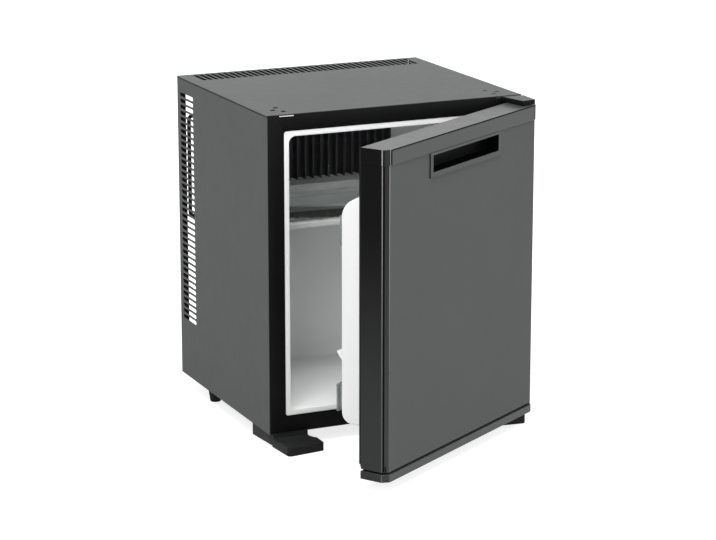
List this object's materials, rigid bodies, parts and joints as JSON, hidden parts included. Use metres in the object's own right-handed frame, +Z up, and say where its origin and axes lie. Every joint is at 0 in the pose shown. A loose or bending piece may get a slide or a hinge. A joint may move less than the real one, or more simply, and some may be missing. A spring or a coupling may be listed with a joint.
{
  "type": "minibar fridge",
  "caption": "Small grey absorption minibar fridge standing with its door ajar, with a glass shelf, door racks, a recessed handle, hinges, feet and a cooling unit behind.",
  "frame": {"origin": "on the floor, in the middle of the box round the part with its door ajar", "axes": "+X to the right for someone facing the door, +Y to the back, +Z up"},
  "size_m": [0.4042, 0.598, 0.4858],
  "materials": {
    "grey_paint": "fine satin paint",
    "grey_plastic": "satin",
    "black_plastic": "matt",
    "foot_rubber": "matt",
    "gasket_rubber": "matt",
    "white_liner": "smooth",
    "pale_trim": "smooth",
    "clear_rack": "smoky translucent",
    "shelf_glass": "polished, green in the edge",
    "white_plastic": "satin",
    "knob_plastic": "satin",
    "lamp_plastic": "frosted",
    "bright_steel": "bright zinc",
    "dark_screw": "black oxide",
    "fin_metal": "mill finish",
    "unit_steel": "black lacquer",
    "zinc_sheet": "zinc-coated sheet",
    "heater_steel": "plain",
    "box_plastic": "matt",
    "bush_plastic": "plain",
    "foam": "rigid foam"
  },
  "bodies": {
    "cabinet": {"top_panel": "grey_paint", "left_side_panel": "grey_paint", "right_side_panel": "grey_paint", "base_pan": "zinc_sheet", "back_plate": "zinc_sheet", "rear_cross_rail": "zinc_sheet", "inner_liner": "white_liner", "front_frame": "black_plastic", "front_foot_left": "black_plastic", "front_foot_right": "black_plastic", "rear_feet": "foot_rubber", "foot_screws": "bright_steel", "upper_hinge_bracket": "bright_steel", "upper_hinge_pin": "bright_steel", "upper_hinge_cover": "grey_plastic", "upper_hinge_screws": "dark_screw", "hole_plugs": "black_plastic", "hinge_slot_blank": "pale_trim", "lower_hinge_plate": "bright_steel", "lower_hinge_pin": "bright_steel", "lower_hinge_screws": "bright_steel", "lower_hinge_washer": "bright_steel", "glass_shelf": "shelf_glass", "shelf_front_trim": "pale_trim", "evaporator_fins": "fin_metal", "evaporator_tube": "unit_steel", "drip_tray": "pale_trim", "thermostat_housing": "white_plastic", "thermostat_body": "white_plastic", "lamp_lens": "lamp_plastic", "condenser_tube": "unit_steel", "condenser_fins": "fin_metal", "vent_pipe": "unit_steel", "absorber_coil": "unit_steel", "absorber_vessel": "unit_steel", "boiler_casing": "zinc_sheet", "boiler_insulation": "foam", "boiler_tube": "unit_steel", "heater_cartridge": "heater_steel", "unit_brackets": "bright_steel", "control_box": "box_plastic", "control_box_cover": "box_plastic", "mains_inlet": "box_plastic", "control_box_screws": "bright_steel", "cabinet_foam": "foam"},
    "door": {"door_panel": "grey_paint", "door_top_cap": "grey_plastic", "door_bottom_cap": "grey_plastic", "door_liner": "white_liner", "door_gasket": "gasket_rubber", "handle_bezel": "grey_plastic", "handle_pocket": "black_plastic", "upper_hinge_bush": "bush_plastic", "lower_hinge_bush": "bush_plastic", "door_rack_upper": "clear_rack", "door_rack_lower": "clear_rack", "door_bottle_rail": "white_liner", "door_foam": "foam"},
    "knob": {"thermostat_knob": "knob_plastic"}
  },
  "joints": [
    {"name": "door_hinge", "type": "hinge", "parent": "cabinet", "child": "door", "pos_m": [0.1819, -0.083, 0], "axis": [0, 0, 1], "range_deg": [-32, 88]},
    {"name": "thermostat_turn", "type": "hinge", "parent": "cabinet", "child": "knob", "pos_m": [0.1431, 0.082, 0.402], "axis": [-1, 0, 0], "range_deg": [-135, 135]}
  ]
}
